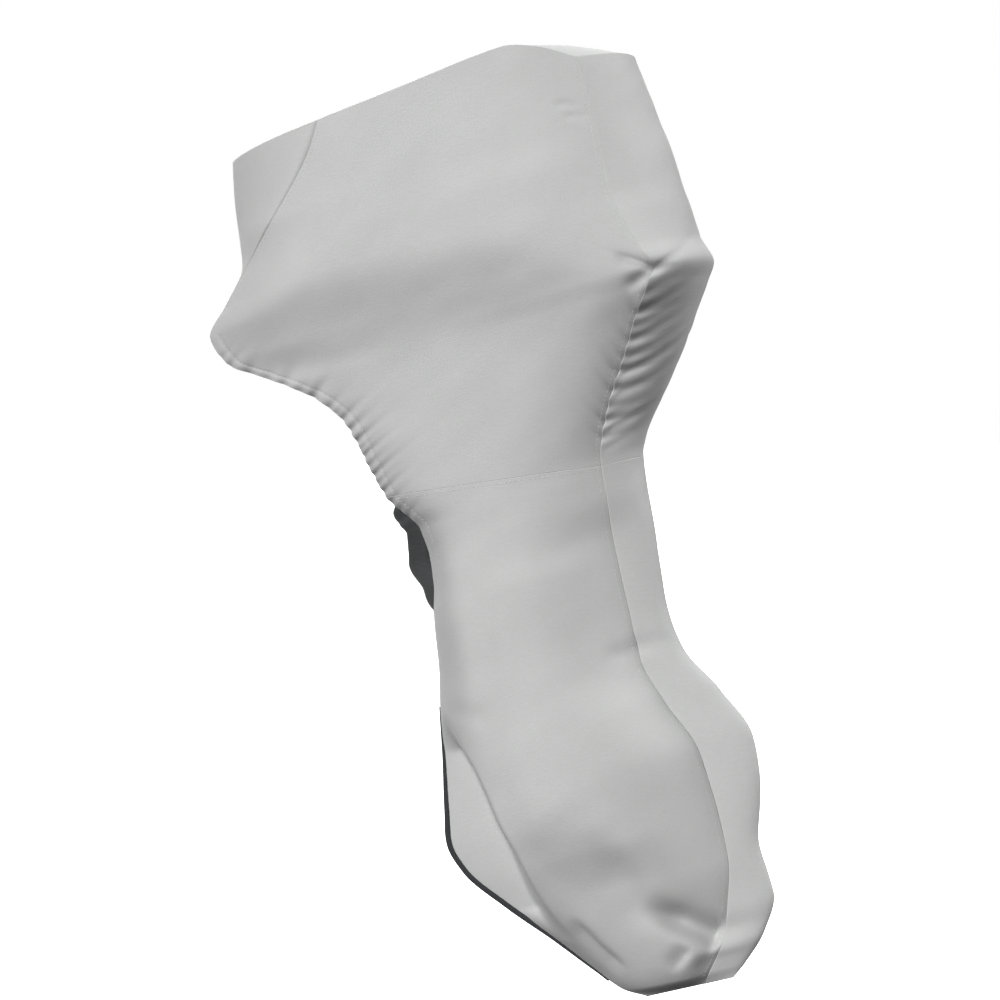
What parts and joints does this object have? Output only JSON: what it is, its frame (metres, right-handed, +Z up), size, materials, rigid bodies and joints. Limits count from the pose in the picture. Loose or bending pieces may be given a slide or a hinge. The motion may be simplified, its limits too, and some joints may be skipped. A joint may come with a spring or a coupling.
{
  "type": "outboard motor cover",
  "caption": "Full-length hollow cloth cover for a tilted outboard motor: boxed hood, leg sleeve and lower bag, open at the front for the bracket.",
  "frame": {"origin": "middle of the hood top's inner face, where the cover rests on the motor", "axes": "+Z up, +X aft (away from the boat), +Y to starboard; the cover hangs on a motor tilted 15 degrees"},
  "size_m": [0.8612, 0.3828, 1.4081],
  "materials": {
    "cover_cloth": "matte woven polyester, light grey",
    "edge_binding": "matte woven tape, near black"
  },
  "bodies": {
    "root": {"hood_side_port": "cover_cloth", "hood_side_starboard": "cover_cloth", "nose_panel": "cover_cloth", "top_panel": "cover_cloth", "aft_gusset": "cover_cloth", "leg_side_port": "cover_cloth", "leg_side_starboard": "cover_cloth", "leg_gusset": "cover_cloth", "front_binding": "edge_binding"}
  },
  "joints": []
}
